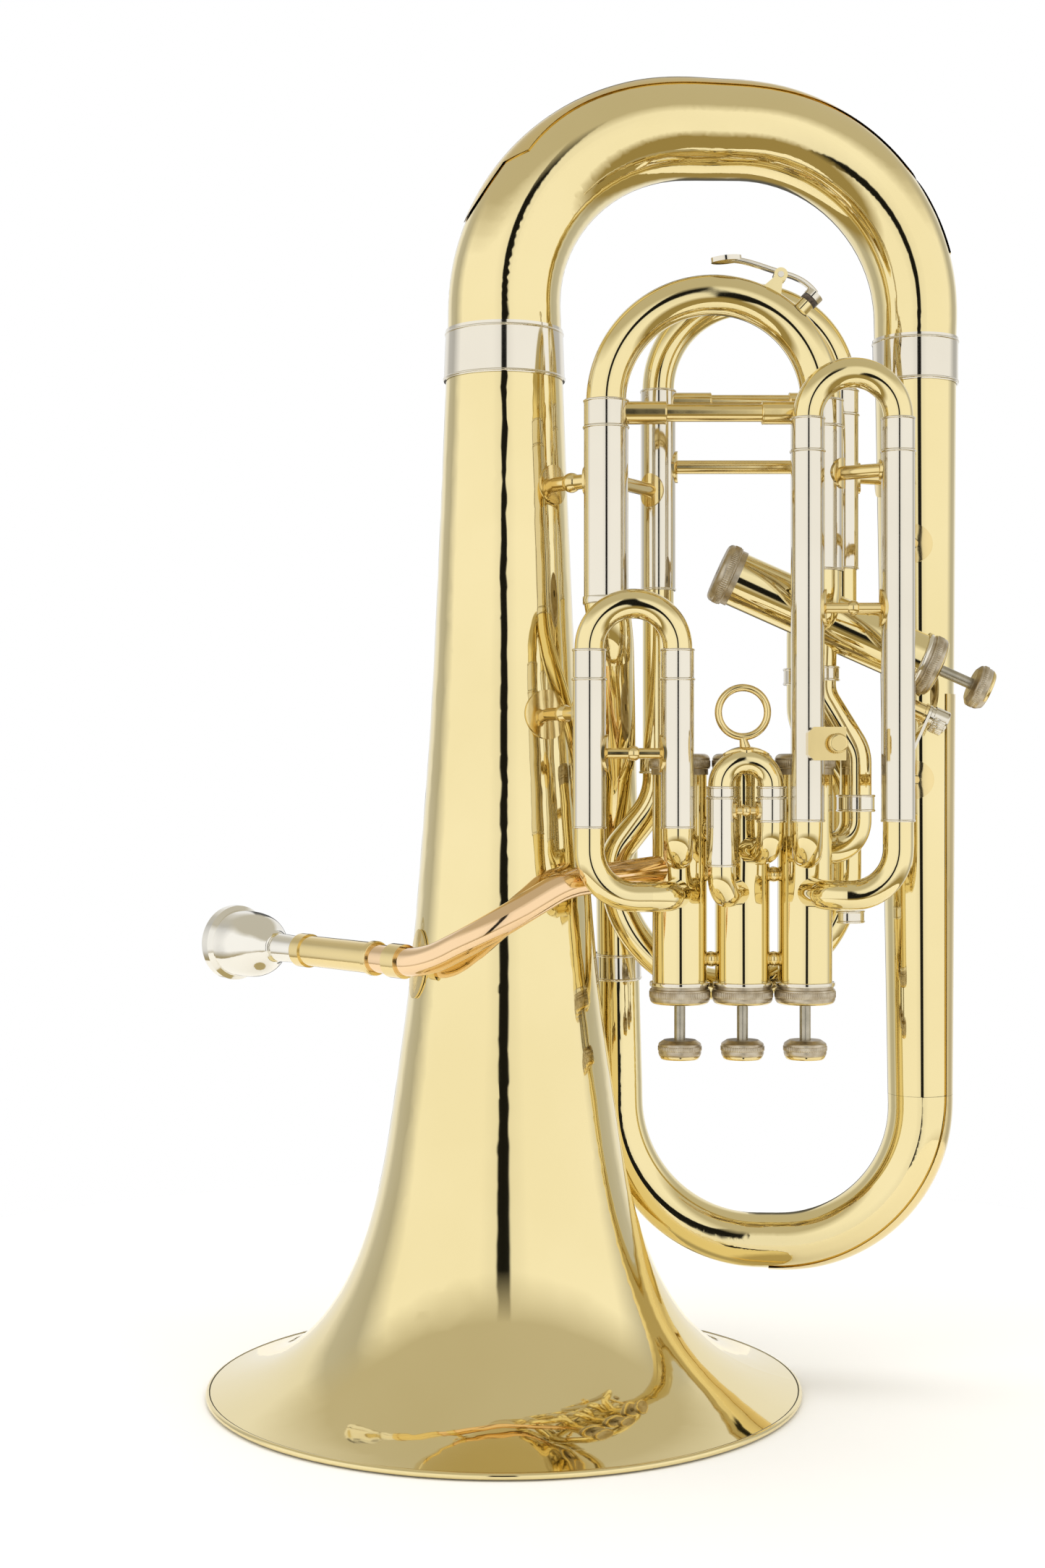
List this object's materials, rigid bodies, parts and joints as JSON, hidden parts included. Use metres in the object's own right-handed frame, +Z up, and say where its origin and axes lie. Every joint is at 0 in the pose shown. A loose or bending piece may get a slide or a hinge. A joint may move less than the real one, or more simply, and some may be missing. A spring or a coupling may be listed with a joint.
{
  "type": "euphonium",
  "caption": "Upright brass euphonium standing on its bell, with piston valves, a tilted valve across the top, pull-out tuning slides, water key and mouthpiece.",
  "frame": {"origin": "centre of the bell mouth, in the plane of the rim it stands on", "axes": "+Z up along the bell axis towards the top bow, +X from the bell towards the valves and the right branch, -Y towards the valve slides (the front)"},
  "size_m": [0.3802, 0.2798, 0.6212],
  "materials": {
    "lacquered_brass": "polished, clear lacquer",
    "brass_fittings": "polished, clear lacquer",
    "rose_brass": "polished, clear lacquer",
    "nickel_silver": "polished",
    "knurled_nickel": "knurled, satin",
    "valve_steel": "satin",
    "silver_plate": "polished"
  },
  "bodies": {
    "horn": {"bell": "lacquered_brass", "bell_braces": "brass_fittings", "bell_ferrule": "nickel_silver", "bottom_bow": "lacquered_brass", "branch_ferrules": "nickel_silver", "branch_guard": "brass_fittings", "caps_1": "knurled_nickel", "caps_2": "knurled_nickel", "caps_3": "knurled_nickel", "caps_4": "knurled_nickel", "casing_1": "lacquered_brass", "casing_2": "lacquered_brass", "casing_3": "lacquered_brass", "casing_4": "lacquered_brass", "casing_stays": "brass_fittings", "first_sleeves": "nickel_silver", "fourth_loop": "lacquered_brass", "fourth_sleeves": "nickel_silver", "leadpipe": "rose_brass", "leadpipe_brace": "brass_fittings", "left_branch": "lacquered_brass", "lyre_socket": "brass_fittings", "main_sleeves": "nickel_silver", "receiver": "brass_fittings", "right_branch": "lacquered_brass", "second_sleeves": "nickel_silver", "slide_stays": "brass_fittings", "third_sleeves": "nickel_silver", "thumb_post": "brass_fittings", "top_bow": "lacquered_brass", "top_bow_guard": "brass_fittings", "tube_ferrules": "nickel_silver", "valve_knuckles": "lacquered_brass", "valve_links": "lacquered_brass"},
    "valve_1": {"piston_1": "valve_steel", "button_1": "knurled_nickel"},
    "valve_2": {"piston_2": "valve_steel", "button_2": "knurled_nickel"},
    "valve_3": {"piston_3": "valve_steel", "button_3": "knurled_nickel"},
    "valve_4": {"piston_4": "valve_steel", "button_4": "knurled_nickel"},
    "main_slide": {"main_crook": "lacquered_brass", "main_legs": "nickel_silver", "main_brace": "brass_fittings"},
    "fourth_slide": {"fourth_crook": "lacquered_brass", "fourth_legs": "nickel_silver", "fourth_brace": "brass_fittings"},
    "first_slide": {"first_crook": "lacquered_brass", "first_legs": "nickel_silver"},
    "second_slide": {"second_crook": "lacquered_brass", "second_legs": "nickel_silver", "pull_ring": "brass_fittings"},
    "third_slide": {"third_crook": "lacquered_brass", "third_legs": "nickel_silver"},
    "water_key": {"water_key": "nickel_silver"},
    "mouthpiece": {"mouthpiece": "silver_plate"},
    "lyre_screw": {"lyre_screw": "brass_fittings"},
    "thumb_plate": {"thumb_plate": "nickel_silver"},
    "thumb_screw": {"thumb_screw": "nickel_silver"}
  },
  "joints": [
    {"name": "valve_1_press", "type": "slide", "parent": "horn", "child": "valve_1", "axis": [0, 0, 1], "range_m": [0, 0.0165], "stiffness_N_per_m": 90, "springref_m": -0.015},
    {"name": "valve_2_press", "type": "slide", "parent": "horn", "child": "valve_2", "axis": [0, 0, 1], "range_m": [0, 0.0165], "stiffness_N_per_m": 90, "springref_m": -0.015},
    {"name": "valve_3_press", "type": "slide", "parent": "horn", "child": "valve_3", "axis": [0, 0, 1], "range_m": [0, 0.0165], "stiffness_N_per_m": 90, "springref_m": -0.015},
    {"name": "valve_4_press", "type": "slide", "parent": "horn", "child": "valve_4", "axis": [-0.9135, 0, 0.4069], "range_m": [0, 0.0165], "stiffness_N_per_m": 90, "springref_m": -0.015},
    {"name": "main_slide_pull", "type": "slide", "parent": "horn", "child": "main_slide", "axis": [0, 0, 1], "range_m": [0, 0.05]},
    {"name": "fourth_slide_pull", "type": "slide", "parent": "horn", "child": "fourth_slide", "axis": [0, 0, 1], "range_m": [0, 0.04]},
    {"name": "first_slide_pull", "type": "slide", "parent": "horn", "child": "first_slide", "axis": [0, 0, 1], "range_m": [0, 0.045]},
    {"name": "second_slide_pull", "type": "slide", "parent": "horn", "child": "second_slide", "axis": [0, 0, 1], "range_m": [0, 0.009]},
    {"name": "third_slide_pull", "type": "slide", "parent": "horn", "child": "third_slide", "axis": [0, 0, 1], "range_m": [0, 0.14]},
    {"name": "mouthpiece_pull", "type": "slide", "parent": "horn", "child": "mouthpiece", "axis": [-0.6816, 0.7316, 0.0137], "range_m": [0, 0.03]},
    {"name": "water_key_press", "type": "hinge", "parent": "main_slide", "child": "water_key", "pos_m": [0.12604, -0.037, 0.51663], "axis": [0, -1, 0], "range_deg": [0, 9.4], "stiffness_Nm_per_rad": 0.02, "springref_deg": -20.05},
    {"name": "lyre_screw_turn", "type": "hinge", "parent": "horn", "child": "lyre_screw", "pos_m": [0.147, -0.07, 0.3029], "axis": [0, -1, 0], "continuous": true},
    {"name": "thumb_plate_swing", "type": "hinge", "parent": "horn", "child": "thumb_plate", "pos_m": [0.1965, -0.015, 0.3175], "axis": [0.9135, 0, -0.4069], "range_deg": [-25, 25]},
    {"name": "thumb_screw_turn", "type": "hinge", "parent": "horn", "child": "thumb_screw", "pos_m": [0.1965, -0.015, 0.3175], "axis": [0.9135, 0, -0.4069], "continuous": true}
  ]
}
